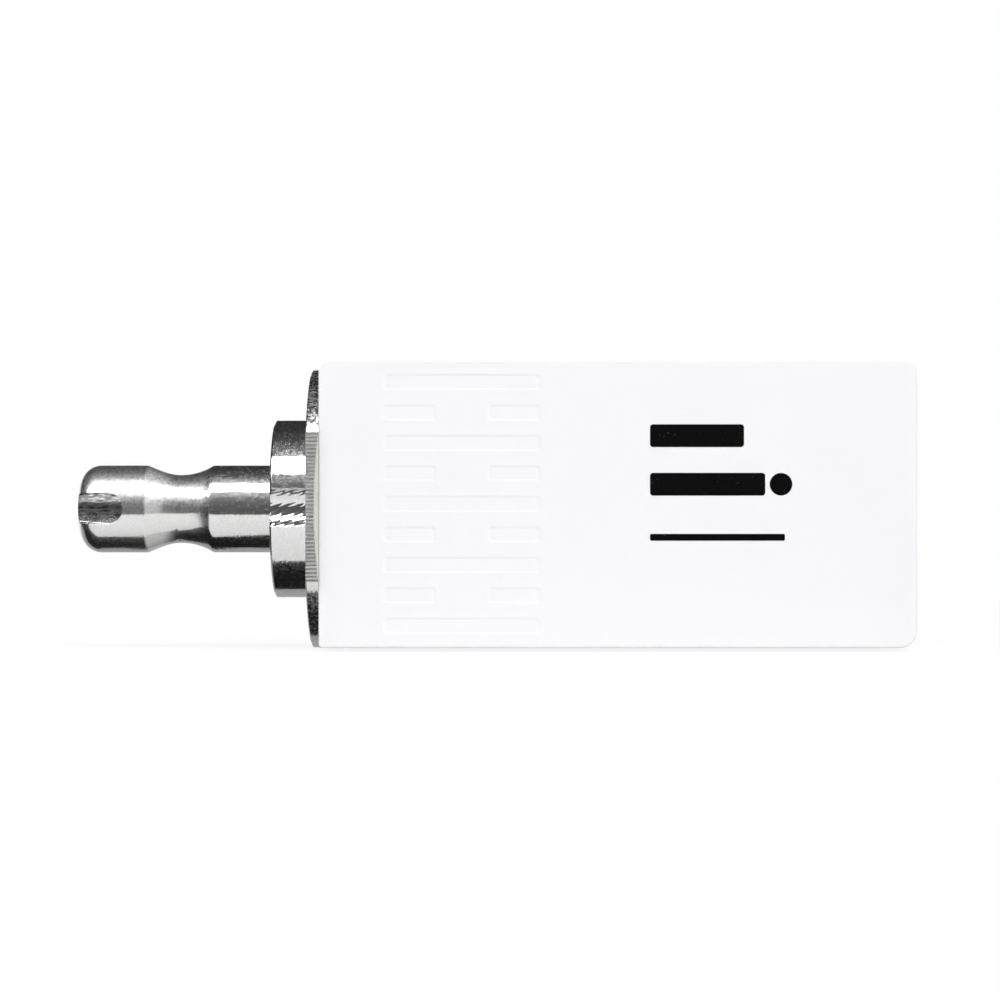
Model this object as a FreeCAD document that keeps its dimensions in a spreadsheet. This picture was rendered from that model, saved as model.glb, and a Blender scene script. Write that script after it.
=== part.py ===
"""A ceramic milling block glued to its turned metal holder, as a parametric document.

The holder's axis lies along X. The origin is on that axis, in the plane of the collar face that seats against the
machine's clamp. The shank points to -X, the block to +X, and +Z is up as the part lies on its narrow side.
Lengths are millimetres and angles are degrees.
"""

import FreeCAD, Part
import math
import os

import Sketcher

# The sizes that can be set by themselves: name, value, what it measures
DRIVING = [
    ("block_length", 39.5, "ceramic block, from the glued end to the free end"),
    ("block_height", 19.0, "ceramic block, upwards"),
    ("block_depth", 15.5, "ceramic block, front to back"),
    ("block_raise", 0.2, "the block is glued this much above the holder's axis"),
    ("top_corner_round", 0.8, "the two upper corners of the block's outline"),
    ("low_corner_round", 1.15, "the two lower corners of the block's outline"),
    ("edge_round", 0.12, "edges around the block's front and back"),
    ("recess_depth", 0.1, "moulded bars sunk into the block's front"),
    ("recess_height", 1.15, "each bar"),
    ("recess_pitch", 2.01, "from one bar to the next"),
    ("recess_inset", 4.2, "from the glued end to the bars"),
    ("long_bar", 10.5, "a bar over the whole field"),
    ("short_bar", 3.6, "a bar at one edge of the field"),
    ("shank_radius", 3.0, "the pin that the machine clamps"),
    ("shank_length", 4.28, "plain cylinder between the seat and the neck"),
    ("head_length", 4.67, "from the neck to the tip of the nose"),
    ("nose_round", 1.45, "rounded edge of the nose"),
    ("nose_dome", 0.05, "how far the nose's end bulges"),
    ("neck_radius", 2.34, "the neck at its thinnest"),
    ("neck_front_arc", 3.2, "hollow of the neck towards the nose"),
    ("neck_front_slope", 22.0, "steepest angle of the neck towards the nose"),
    ("neck_back_arc", 4.05, "hollow of the neck towards the seat"),
    ("neck_back_slope", 29.0, "steepest angle of the neck towards the seat"),
    ("neck_edge_round", 0.6, "both rims of the neck, polished round"),
    ("slot_width", 2.1, "keyway in the nose, cut with an end mill"),
    ("slot_depth", 1.1, "from the shank's surface to the keyway's floor"),
    ("slot_corner", 0.35, "rounded corner between the keyway's floor and walls"),
    ("slot_length", 3.26, "from the tip of the nose to the keyway's round end"),
    ("collar_radius", 6.1, "collar that seats in the clamp"),
    ("collar_length", 2.56, "collar, along the axis"),
    ("collar_break", 0.12, "chamfer on the collar's front edge"),
    ("notch_width", 2.57, "alignment notch across the collar, at its surface"),
    ("notch_depth", 0.9, "from the collar's surface to the notch's floor"),
    ("flange_overhang", 0.05, "the round plate's radius, past half the block's height"),
    ("flange_thickness", 0.84, "plate, along the axis"),
    ("flange_break", 0.08, "chamfer on the plate's front edge"),
    ("flat_overhang", 0.42, "each milled flat of the plate, past the block's side"),
    ("dish_land", 0.05, "flat rim around the dish that holds the adhesive"),
    ("dish_bevel", 1.3, "width of the dish's sloping rim"),
    ("dish_depth", 0.28, "dish in the plate's bonding face"),
]

# Places worked out from the sizes: name, formula, what it is
DERIVED = [
    ("neck_front_top", "neck_radius + neck_front_arc * (1 - cos(neck_front_slope))", "radius where the hollow ends"),
    ("neck_back_top", "neck_radius + neck_back_arc * (1 - cos(neck_back_slope))", "radius where the hollow ends"),
    ("neck_back_edge", "-shank_length", "neck's edge on the shank"),
    ("neck_back_join", "neck_back_edge - (shank_radius - neck_back_top) / tan(neck_back_slope)", "slope to hollow"),
    ("neck_waist", "neck_back_join - neck_back_arc * sin(neck_back_slope)", "thinnest place of the neck"),
    ("neck_front_join", "neck_waist - neck_front_arc * sin(neck_front_slope)", "hollow to slope"),
    ("neck_front_edge", "neck_front_join - (shank_radius - neck_front_top) / tan(neck_front_slope)", "edge on the head"),
    ("nose_tip", "neck_front_edge - head_length", "end of the nose on the axis"),
    ("nose_shoulder", "nose_tip + nose_dome", "where the nose's end meets its rounded edge"),
    ("nose_flat_radius", "shank_radius - nose_round", "radius of the nose's end"),
    ("nose_dome_radius", "(nose_dome ^ 2 + nose_flat_radius ^ 2) / (2 * nose_dome)", "bulge of the nose's end"),
    ("head_start", "nose_shoulder + nose_round", "where the head becomes a cylinder"),
    ("slot_radius", "slot_width / 2", "radius of the end mill"),
    ("slot_floor", "shank_radius - slot_depth", "keyway's floor, from the holder's axis"),
    ("slot_end", "nose_tip + slot_length", "round end of the keyway"),
    ("slot_centre", "slot_end - slot_radius", "tool's centre at the keyway's end"),
    ("slot_start", "nose_tip - slot_radius", "tool's start, clear of the nose"),
    ("notch_chord", "sqrt(collar_radius ^ 2 - notch_width ^ 2 / 4)", "notch's edges, from the axis"),
    ("notch_floor", "collar_radius - notch_depth", "notch's floor, from the axis"),
    ("notch_sagitta", "notch_chord - notch_floor", "height of the notch's arc"),
    ("notch_radius", "(notch_width ^ 2 / 4 + notch_sagitta ^ 2) / (2 * notch_sagitta)", "radius of the cutter"),
    ("notch_axis", "notch_floor + notch_radius", "cutter's axis, from the holder's axis"),
    ("collar_edge_radius", "collar_radius - collar_break", "collar's seat face"),
    ("flange_radius", "block_height / 2 + flange_overhang", "thin plate that carries the block"),
    ("flat_distance", "block_depth / 2 + flat_overhang", "from the axis to each milled flat of the plate"),
    ("flange_edge_radius", "flange_radius - flange_break", "plate's front face"),
    ("flange_edge", "collar_length + flange_break", "where the plate's chamfer ends"),
    ("bond_face", "collar_length + flange_thickness", "plane in which the block meets the plate"),
    ("dish_radius", "flange_radius - dish_land", "dish at its mouth"),
    ("dish_floor_radius", "dish_radius - dish_bevel", "dish at its floor"),
    ("dish_floor", "bond_face - dish_depth", "plane of the dish's floor"),
    ("cutter_reach", "flange_radius + 1", "clears the plate on every side"),
    ("block_end", "bond_face + block_length", "free end of the block"),
    ("block_side", "block_depth / 2", "from the axis to the block's front and back"),
    ("block_top", "block_raise + block_height / 2", "upper side of the block"),
    ("block_base", "block_raise - block_height / 2", "lower side of the block"),
    ("field_near", "bond_face + recess_inset", "edge of the bars' field near the holder"),
    ("field_far", "field_near + long_bar", "edge of the bars' field away from the holder"),
    ("field_left_end", "field_near + short_bar", "end of the short bars near the holder"),
    ("field_right_end", "field_far - short_bar", "end of the short bars away from the holder"),
    ("long_low", "block_raise - 4 * recess_pitch - recess_height / 2", "lower edge of the lowest long bar"),
    ("long_high", "long_low + recess_height", "upper edge of the lowest long bar"),
    ("short_low", "long_low + recess_pitch", "lower edge of the lowest short bars"),
    ("short_high", "short_low + recess_height", "upper edge of the lowest short bars"),
]

LONG_BARS = 5
SHORT_BARS = 4
SHEET = "Sizes"


def make_sheet(doc):
    """The sheet with every size and every place worked out from them."""
    sheet = doc.addObject("Spreadsheet::Sheet", SHEET)
    cells = [(name, str(value), note) for name, value, note in DRIVING]
    cells += [(name, "=" + formula, note) for name, formula, note in DERIVED]
    for row, (name, content, note) in enumerate(cells, start=1):
        sheet.set(f"A{row}", name)
        sheet.set(f"B{row}", content)
        sheet.set(f"C{row}", note)
        sheet.setAlias(f"B{row}", name)
    doc.recompute()
    return sheet


def read(sheet, term):
    """The number behind a term: a cell's name, with a minus sign or without."""
    if term.startswith("-"):
        return -float(sheet.get(term[1:]))
    return float(sheet.get(term))


def bound(term):
    """The same term as an expression on the sheet."""
    if term.startswith("-"):
        return f"-{SHEET}.{term[1:]}"
    return f"{SHEET}.{term}"


def origin_feature(body, role):
    """A plane or an axis of the body's own origin."""
    for feature in body.Origin.OriginFeatures:
        if feature.Role == role:
            return feature
    raise ValueError(f"{body.Label} has no {role}")


def new_sketch(body, plane, name):
    """An empty sketch on one of the body's origin planes."""
    sketch = body.newObject("Sketcher::SketchObject", name)
    sketch.AttachmentSupport = [(origin_feature(body, plane), "")]
    sketch.MapMode = "FlatFace"
    return sketch


def place_point(sketch, sheet, geometry, position, across, up):
    """Ties one point of a sketch to two terms of the sheet. None puts it on that axis of the sketch."""
    on_axis = {"DistanceX": -2, "DistanceY": -1}
    for kind, term in (("DistanceX", across), ("DistanceY", up)):
        if term is None:
            sketch.addConstraint(Sketcher.Constraint("PointOnObject", geometry, position, on_axis[kind]))
            continue
        value = read(sheet, term)
        index = sketch.addConstraint(Sketcher.Constraint(kind, -1, 1, geometry, position, value))
        sketch.setExpression(f"Constraints[{index}]", bound(term))


def arc_between(start, end, radius, side):
    """The short arc from start to end. Its centre is to the left of that path where side is 1, or else to the right."""
    chord = end - start
    middle = (start + end) / 2
    rise = math.sqrt(radius**2 - (chord.Length / 2) ** 2)
    left = FreeCAD.Vector(-chord.y, chord.x, 0) / chord.Length
    centre = middle + left * rise * side
    first, last = (start, end) if side > 0 else (end, start)
    first_angle = math.atan2(first.y - centre.y, first.x - centre.x)
    last_angle = math.atan2(last.y - centre.y, last.x - centre.x)
    circle = Part.Circle(centre, FreeCAD.Vector(0, 0, 1), radius)
    return Part.ArcOfCircle(circle, first_angle, last_angle)


def outline(sketch, sheet, corners):
    """A closed outline. A corner is (across, up), or (across, up, radius, side) where an arc leads to the next one."""
    points = []
    for corner in corners:
        across = read(sheet, corner[0]) if corner[0] else 0.0
        up = read(sheet, corner[1]) if corner[1] else 0.0
        points.append(FreeCAD.Vector(across, up, 0))
    ends = []
    for number, corner in enumerate(corners):
        start = points[number]
        end = points[(number + 1) % len(points)]
        if len(corner) == 2:
            edge = sketch.addGeometry(Part.LineSegment(start, end))
            ends.append((edge, 1, 2))
            continue
        radius, side = corner[2:]
        edge = sketch.addGeometry(arc_between(start, end, read(sheet, radius), side))
        ends.append((edge, 1, 2) if side > 0 else (edge, 2, 1))
        index = sketch.addConstraint(Sketcher.Constraint("Radius", edge, read(sheet, radius)))
        sketch.setExpression(f"Constraints[{index}]", bound(radius))
    for number, (edge, first, last) in enumerate(ends):
        following, following_first, _ = ends[(number + 1) % len(ends)]
        sketch.addConstraint(Sketcher.Constraint("Coincident", edge, last, following, following_first))
        place_point(sketch, sheet, edge, first, corners[number][0], corners[number][1])


def revolve(body, sketch, name):
    """Turns a sketch's outline once round the sketch's horizontal axis."""
    feature = body.newObject("PartDesign::Revolution", name)
    feature.Profile = sketch
    feature.ReferenceAxis = (sketch, ["H_Axis"])
    feature.Angle = 360
    return feature


def sink(body, sheet, name, corners, face, depth):
    """A pocket milled or moulded into the front, from a plane at that distance from the axis."""
    sketch = new_sketch(body, "XZ_Plane", name + "Outline")
    sketch.setExpression("AttachmentOffset.Base.z", bound(face))
    outline(sketch, sheet, corners)
    pocket = body.newObject("PartDesign::Pocket", name)
    pocket.Profile = sketch
    pocket.setExpression("Length", bound(depth))
    body.Document.recompute()
    return pocket


def mill_flats(body, sheet):
    """Cuts the flange's front and back to two parallel flats."""
    sketch = new_sketch(body, "YZ_Plane", "FlatOutline")
    corners = [
        ("-cutter_reach", "-cutter_reach"),
        ("-flat_distance", "-cutter_reach"),
        ("-flat_distance", "cutter_reach"),
        ("-cutter_reach", "cutter_reach"),
    ]
    outline(sketch, sheet, corners)
    pocket = body.newObject("PartDesign::Pocket", "FrontFlat")
    pocket.Profile = sketch
    pocket.Type = "ThroughAll"
    pocket.SideType = "Symmetric"
    mirrored = body.newObject("PartDesign::Mirrored", "BackFlat")
    mirrored.Originals = [pocket]
    mirrored.MirrorPlane = (origin_feature(body, "XZ_Plane"), [""])
    body.Tip = mirrored


def make_holder(doc, sheet):
    """The holder: turned in one piece, then slotted, notched and flatted."""
    body = doc.addObject("PartDesign::Body", "holder")
    turned = new_sketch(body, "XZ_Plane", "TurnedOutline")
    corners = [
        ("nose_tip", None, "nose_dome_radius", -1),
        ("nose_shoulder", "nose_flat_radius", "nose_round", -1),
        ("head_start", "shank_radius"),
        ("neck_front_edge", "shank_radius"),
        ("neck_front_join", "neck_front_top", "neck_front_arc", 1),
        ("neck_waist", "neck_radius", "neck_back_arc", 1),
        ("neck_back_join", "neck_back_top"),
        ("neck_back_edge", "shank_radius"),
        (None, "shank_radius"),
        (None, "collar_edge_radius"),
        ("collar_break", "collar_radius"),
        ("collar_length", "collar_radius"),
        ("collar_length", "flange_edge_radius"),
        ("flange_edge", "flange_radius"),
        ("bond_face", "flange_radius"),
        ("bond_face", "dish_radius"),
        ("dish_floor", "dish_floor_radius"),
        ("dish_floor", None),
    ]
    outline(turned, sheet, corners)
    form = revolve(body, turned, "TurnedForm")
    doc.recompute()
    rims = rim_names(form.Shape, [read(sheet, "neck_front_edge"), read(sheet, "neck_back_edge")])
    round_edges(body, form, rims, "NeckRims", "neck_edge_round")

    corners = [
        ("slot_start", "-slot_radius"),
        ("slot_centre", "-slot_radius", "slot_radius", 1),
        ("slot_end", None, "slot_radius", 1),
        ("slot_centre", "slot_radius"),
        ("slot_start", "slot_radius"),
    ]
    keyway = sink(body, sheet, "NoseKeyway", corners, "shank_radius", "slot_depth")
    foot = foot_names(keyway.Shape, read(sheet, "slot_floor"), read(sheet, "slot_radius") / 2)
    round_edges(body, keyway, foot, "KeywayCorner", "slot_corner")

    notch = new_sketch(body, "YZ_Plane", "NotchCircle")
    centre = FreeCAD.Vector(read(sheet, "-notch_axis"), 0, 0)
    upright = FreeCAD.Vector(0, 0, 1)
    circle = notch.addGeometry(Part.Circle(centre, upright, read(sheet, "notch_radius")))
    place_point(notch, sheet, circle, 3, "-notch_axis", None)
    index = notch.addConstraint(Sketcher.Constraint("Radius", circle, read(sheet, "notch_radius")))
    notch.setExpression(f"Constraints[{index}]", bound("notch_radius"))
    cut = body.newObject("PartDesign::Pocket", "CollarNotch")
    cut.Profile = notch
    cut.setExpression("Length", bound("collar_length"))
    cut.Reversed = True

    mill_flats(body, sheet)
    return body


def make_bond_layer(doc, sheet):
    """The adhesive: it fills the flange's dish up to the block, and the milled flats show its edge."""
    body = doc.addObject("PartDesign::Body", "bond_layer")
    section = new_sketch(body, "XZ_Plane", "DishOutline")
    corners = [
        ("dish_floor", None),
        ("dish_floor", "dish_floor_radius"),
        ("bond_face", "dish_radius"),
        ("bond_face", None),
    ]
    outline(section, sheet, corners)
    revolve(body, section, "DishFilling")
    mill_flats(body, sheet)
    return body


def edge_names(shape, wanted):
    """The names of a shape's edges that pass a test."""
    return [f"Edge{number}" for number, edge in enumerate(shape.Edges, start=1) if wanted(edge)]


def round_edges(body, base, names, name, radius):
    """Rounds the named edges of the body's last feature."""
    fillet = body.newObject("PartDesign::Fillet", name)
    fillet.Base = (base, names)
    fillet.setExpression("Radius", bound(radius))
    body.Document.recompute()
    return fillet


def rim_names(shape, stations):
    """The round edges of a turned form at those stations along the axis."""

    def wanted(edge):
        if edge.Degenerated or not isinstance(edge.Curve, Part.Circle):
            return False
        centre = edge.Curve.Center
        across = math.hypot(centre.y, centre.z)
        return across < 1e-6 and any(abs(centre.x - station) < 1e-6 for station in stations)

    return edge_names(shape, wanted)


def foot_names(shape, floor, aside):
    """The edges where a pocket's floor meets its walls. The floor's open end, in the middle, isn't one of them."""

    def wanted(edge):
        if any(abs(vertex.Y + floor) > 1e-6 for vertex in edge.Vertexes):
            return False
        middle = edge.valueAt((edge.FirstParameter + edge.LastParameter) / 2)
        return abs(middle.y + floor) < 1e-6 and abs(middle.z) > aside

    return edge_names(shape, wanted)


def corner_names(shape, above, height):
    """The edges that run front to back, above a height or below it."""

    def wanted(edge):
        first, last = (vertex.Point for vertex in edge.Vertexes)
        across = FreeCAD.Vector(last.x - first.x, 0, last.z - first.z)
        return across.Length < 1e-6 and (first.z > height) == above

    return edge_names(shape, wanted)


def face_edge_names(shape, distance):
    """The edges around the front and the back, each at that distance from the middle."""

    def wanted(edge):
        return all(abs(abs(vertex.Y) - distance) < 1e-6 for vertex in edge.Vertexes)

    return edge_names(shape, wanted)


def sink_bar(body, sheet, name, across, up, copies):
    """One shallow bar in the block's front, repeated upwards at twice the bars' pitch."""
    near, far = across
    low, high = up
    corners = [(near, low), (far, low), (far, high), (near, high)]
    pocket = sink(body, sheet, name, corners, "block_side", "recess_depth")
    pattern = body.newObject("PartDesign::LinearPattern", name + "Row")
    pattern.Originals = [pocket]
    pattern.Direction = (pocket.Profile[0], ["V_Axis"])
    pattern.Occurrences = copies
    pattern.Mode = "Spacing"
    pattern.setExpression("Offset", f"{SHEET}.recess_pitch * 2")
    body.Tip = pattern
    body.Document.recompute()


def make_block(doc, sheet):
    """The ceramic block: a pressed bar with rounded corners and a field of shallow moulded bars."""
    body = doc.addObject("PartDesign::Body", "zirconia_block")
    face = new_sketch(body, "XZ_Plane", "BlockOutline")
    corners = [
        ("bond_face", "block_base"),
        ("block_end", "block_base"),
        ("block_end", "block_top"),
        ("bond_face", "block_top"),
    ]
    outline(face, sheet, corners)
    bar = body.newObject("PartDesign::Pad", "PressedBar")
    bar.Profile = face
    bar.SideType = "Symmetric"
    bar.setExpression("Length", bound("block_depth"))
    doc.recompute()

    middle = read(sheet, "block_raise")
    top = round_edges(body, bar, corner_names(bar.Shape, True, middle), "TopCorners", "top_corner_round")
    low = round_edges(body, top, corner_names(top.Shape, False, middle), "LowCorners", "low_corner_round")
    round_edges(body, low, face_edge_names(low.Shape, read(sheet, "block_side")), "FaceEdges", "edge_round")

    sink_bar(body, sheet, "LongBar", ("field_near", "field_far"), ("long_low", "long_high"), LONG_BARS)
    short_rows = ("short_low", "short_high")
    sink_bar(body, sheet, "NearBar", ("field_near", "field_left_end"), short_rows, SHORT_BARS)
    sink_bar(body, sheet, "FarBar", ("field_right_end", "field_far"), short_rows, SHORT_BARS)
    return body


def check_document(doc, bodies):
    """Stops if any object failed or any piece is empty, broken or in several lumps."""
    for item in doc.Objects:
        if "Invalid" in item.State or "Error" in item.State:
            raise RuntimeError(f"{item.Label} did not recompute: {item.State}")
    for body in bodies:
        shape = body.Shape
        if shape.isNull() or not shape.isValid() or len(shape.Solids) != 1:
            raise RuntimeError(f"{body.Label} is not one valid solid")


def main():
    doc = FreeCAD.newDocument("MillingBlock")
    sheet = make_sheet(doc)
    bodies = [make_holder(doc, sheet), make_bond_layer(doc, sheet), make_block(doc, sheet)]
    doc.recompute()
    check_document(doc, bodies)
    os.makedirs("parts", exist_ok=True)
    for body in bodies:
        body.Shape.exportStep(f"parts/{body.Label}.step")
        box = body.Shape.optimalBoundingBox(False)
        print(f"{body.Label}: {body.Shape.Volume:.2f} mm3, {box.XLength:.2f} x {box.YLength:.2f} x {box.ZLength:.2f} mm")


main()
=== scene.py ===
# %% [markdown]
# # A ceramic milling block on its holder
#
# The object is a white bar of pressed, chalky ceramic, glued to a turned steel holder that a small
# milling machine grips. This lesson dresses its CAD model: the same sizes, with finer surfaces and
# real finishes.
#
# The frame comes first. It holds the CAD model's three nodes, in metres, with the holder's axis on
# X, the block towards +X, and the side with the keyway towards -Y, where the camera stands.

import math

import bmesh
import bpy
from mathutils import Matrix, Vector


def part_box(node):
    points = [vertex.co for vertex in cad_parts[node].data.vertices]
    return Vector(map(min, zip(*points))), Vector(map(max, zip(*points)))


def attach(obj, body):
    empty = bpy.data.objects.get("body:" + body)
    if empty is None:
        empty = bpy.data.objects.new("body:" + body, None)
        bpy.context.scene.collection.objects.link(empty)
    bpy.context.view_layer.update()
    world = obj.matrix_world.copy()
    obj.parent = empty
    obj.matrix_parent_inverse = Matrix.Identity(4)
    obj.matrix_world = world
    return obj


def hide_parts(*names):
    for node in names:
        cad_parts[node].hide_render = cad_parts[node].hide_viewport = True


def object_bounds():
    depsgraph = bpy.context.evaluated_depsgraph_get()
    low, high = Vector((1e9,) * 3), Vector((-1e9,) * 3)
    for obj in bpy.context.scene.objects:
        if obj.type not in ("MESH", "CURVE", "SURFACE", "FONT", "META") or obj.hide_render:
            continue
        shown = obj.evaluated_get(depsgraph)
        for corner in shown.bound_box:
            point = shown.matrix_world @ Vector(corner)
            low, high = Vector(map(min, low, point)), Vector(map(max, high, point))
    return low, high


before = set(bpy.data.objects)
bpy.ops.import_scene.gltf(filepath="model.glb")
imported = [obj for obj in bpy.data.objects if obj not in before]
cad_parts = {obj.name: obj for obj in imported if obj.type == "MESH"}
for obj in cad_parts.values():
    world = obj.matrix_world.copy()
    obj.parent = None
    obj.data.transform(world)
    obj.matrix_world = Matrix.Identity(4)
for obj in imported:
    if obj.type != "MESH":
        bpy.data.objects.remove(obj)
cad_lowest, cad_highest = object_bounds()
MM = 0.001
scene = bpy.context.scene
scene.view_settings.view_transform = "Standard"
print("nodes:", sorted(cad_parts))
print("CAD box, mm:", [round(side / MM, 2) for side in cad_highest - cad_lowest])

# %% [markdown]
# ## The camera
#
# A long lens stands level, 190 mm in front of the holder's axis and a little under it. The block's
# end faces and the collar's faces don't show from there, but the keyway and the notch do. A small
# upward shift of the sensor puts the object where the picture has it, without tilting the camera,
# so upright edges stay upright.

# %% Place the camera
CAMERA_PLACE = (15.37 * MM, -190 * MM, -3.2 * MM)

lens = bpy.data.cameras.new("long lens")
lens.lens = 99.5
lens.sensor_width = 36
lens.shift_y = 0.0555
lens.clip_start = 0.01
lens.clip_end = 10
camera = bpy.data.objects.new("studio camera", lens)
camera.location = CAMERA_PLACE
camera.rotation_euler = (math.radians(90), 0, 0)  # level, looking along Y
scene.collection.objects.link(camera)
scene.camera = camera
print("camera, mm:", [round(place / MM, 1) for place in camera.location])

# %% [markdown]
# ## Two helpers for every material
#
# Paint charts and pickers give colours as sRGB hex codes, while Blender's shaders add light in
# linear values, so one function turns the first into the second. A second function adds a node,
# sets it up and links it, which keeps a material as short as its list of nodes. It takes an input
# by its label or by its number. Two kinds of node have several inputs with one label, or long
# labels: a Mix node keeps its colours at 6 and 7 and their mix at 2, and a Map Range node has the
# value at 0, the range it lies in at 1 and 2, and the range that it is stretched to at 3 and 4.

# %% Colours and nodes
WHITE = "#FFFFFF"
COLOUR_A, COLOUR_B, COLOUR_OUT = 6, 7, 2  # of a Mix node


def linear(code):
    """A hex colour as the linear red, green, blue and alpha that a shader wants (sRGB's own formula)."""
    parts = [int(code[place : place + 2], 16) / 255 for place in (1, 3, 5)]
    parts = [part / 12.92 if part <= 0.04045 else ((part + 0.055) / 1.055) ** 2.4 for part in parts]
    return parts + [1.0]


def add(tree, kind, inputs=None, **settings):
    """Adds a node. Each input is a value, or the output of another node, which is linked to it."""
    node = tree.nodes.new(kind)
    for name, value in settings.items():
        setattr(node, name, value)
    for name, value in (inputs or {}).items():
        if isinstance(value, bpy.types.NodeSocket):
            tree.links.new(value, node.inputs[name])
        else:
            node.inputs[name].default_value = value
    return node


def new_material(name):
    """An empty material with its output node."""
    material = bpy.data.materials.new(name)
    material.use_nodes = True
    material.node_tree.nodes.clear()
    return material, material.node_tree, add(material.node_tree, "ShaderNodeOutputMaterial")


def place_in_mm(tree):
    """The place on the object, in millimetres, so that a pattern's scale is a count per millimetre."""
    place = add(tree, "ShaderNodeTexCoord").outputs["Object"]
    return add(tree, "ShaderNodeVectorMath", {0: place, "Scale": 1 / MM}, operation="SCALE").outputs[0]


print("mid grey #808080 is", round(linear("#808080")[0], 3), "in linear light")

# %% [markdown]
# ## The studio
#
# A white object and a bright metal one want opposite things. The ceramic only needs even, soft
# light. Polished steel has no look of its own: it shows the room. Product photographers build that
# room from one long soft box above and in front, and black or grey cards all round, and the cards
# give the metal its dark bands.
#
# The room here is the same. A soft box and a weak fill light the object. The world adds even light
# from all sides, and it is plain white where the camera or the metal sees it. The cards are seen by
# the metal alone: they throw no shade on the ceramic, and the camera looks through them.

# %% World and lamps
AIR_LIGHT = 0.5  # strength of the even light from all sides


def looked_at(tree):
    """1 where the camera, shiny metal or glass sees a surface, and 0 where the surface only gives light."""
    ray = add(tree, "ShaderNodeLightPath").outputs
    seen = {0: ray["Is Camera Ray"], 1: ray["Is Glossy Ray"]}
    seen = add(tree, "ShaderNodeMath", seen, operation="MAXIMUM")
    seen = {0: seen.outputs[0], 1: ray["Is Transmission Ray"]}
    return add(tree, "ShaderNodeMath", seen, operation="MAXIMUM").outputs[0]


world = bpy.data.worlds.new("white room")
scene.world = world
world.use_nodes = True
room = world.node_tree
room.nodes.clear()
seen = looked_at(room)
air = add(room, "ShaderNodeBackground", {"Color": linear(WHITE), "Strength": AIR_LIGHT})
wall = add(room, "ShaderNodeBackground", {"Color": linear(WHITE), "Strength": 1.0})
mixed = add(room, "ShaderNodeMixShader", {0: seen, 1: air.outputs[0], 2: wall.outputs[0]})
add(room, "ShaderNodeOutputWorld", {"Surface": mixed.outputs[0]})

BOX_ANGLE = math.radians(57.8)  # the middle of the soft box, above the horizon
BOX_DISTANCE = 0.4  # from the holder's axis


def lamp(name, size, place, brightness):
    """A soft rectangular lamp that points at the holder's axis. Brightness 1 is that of white paper."""
    light = bpy.data.lights.new(name, "AREA")
    light.shape = "RECTANGLE"
    light.size, light.size_y = size
    light.energy = math.pi * size[0] * size[1] * brightness
    thing = bpy.data.objects.new(name, light)
    thing.location = place
    thing.rotation_euler = (math.atan2(-place[1], place[2]), 0, 0)
    scene.collection.objects.link(thing)
    return thing


box_place = (0, -BOX_DISTANCE * math.cos(BOX_ANGLE), BOX_DISTANCE * math.sin(BOX_ANGLE))
box = lamp("soft box", size=(1.4, 0.181), place=box_place, brightness=2.2)
fill = lamp("fill", size=(0.5, 0.5), place=(0.0, -0.6, 0.1), brightness=0.6)
for light in (box, fill):
    light.visible_glossy = False

# %% [markdown]
# ## Cards round the metal
#
# Each card is a strip of a wide cylinder round the holder's axis, so the holder sees it under the
# same angles all along its length. The angles are counted from the camera's side, upwards. A colour
# attribute carries each card's brightness from one edge to the other, as light falls off across a
# real card. The cards fade at different lengths towards the block, and the sloping parts of the
# neck show where: they catch the bare wall.
#
# One edge isn't straight. The metal doesn't see the floor, so the low black card paints the object's
# shadow on the table for it, as painted shadow. The table is bright up to that painted shadow, which
# is as wide as what stands over it: wide under the block, narrow under the neck. So the lowest dark
# band of each part starts and ends at angles of its own.

# %% Cards
card_paper, tree, output = new_material("card paper")
shade = add(tree, "ShaderNodeAttribute", attribute_name="shade")
glow = add(tree, "ShaderNodeEmission", {"Color": shade.outputs["Color"], "Strength": 1.0})
tree.links.new(glow.outputs[0], output.inputs["Surface"])

CARD_RADIUS = 0.5
CARD_LENGTH = 0.8  # to each side of the seat face
GLARE = 12.0  # the soft box, against white paper
STRAIGHT = ((-CARD_LENGTH, 0.0), (CARD_LENGTH, 0.0))


def card(name, corners, faces, shades):
    """A sheet that only shiny surfaces see, with a grey value at each corner."""
    mesh = bpy.data.meshes.new(name)
    mesh.from_pydata(corners, [], faces)
    layer = mesh.color_attributes.new("shade", "FLOAT_COLOR", "POINT")
    for entry, grey in zip(layer.data, shades):
        entry.color = (grey, grey, grey, 1)
    mesh.materials.append(card_paper)
    sheet = bpy.data.objects.new(name, mesh)
    scene.collection.objects.link(sheet)
    sheet.visible_camera = False
    sheet.visible_diffuse = False
    sheet.visible_transmission = False
    sheet.visible_shadow = False


def strip(name, stops, columns=STRAIGHT, goal=1.0):
    """A bent card round the axis. Stops are (angle in degrees, grey value), from one long edge to the
    other. Columns are (place along the axis, share), and the share turns the grey towards the goal. An
    angle may also be a list with one angle for each column, for an edge that isn't straight."""
    corners, shades = [], []
    for turns, grey in stops:
        turns = turns if isinstance(turns, list) else [turns] * len(columns)
        for turn, (x, share) in zip(turns, columns):
            across, up = math.cos(math.radians(turn)), math.sin(math.radians(turn))
            corners.append((x, -CARD_RADIUS * across, CARD_RADIUS * up))
            shades.append(grey + (goal - grey) * share)
    wide = len(columns)
    faces = []
    for row in range(len(stops) - 1):
        for column in range(wide - 1):
            first = row * wide + column
            faces.append((first, first + 1, first + wide + 1, first + wide))
    card(name, corners, faces, shades)


# The soft box glare is a glowing strip that only the metal sees: a painted reflection of the soft box,
# whose lamp is hidden from shiny surfaces.
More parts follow.
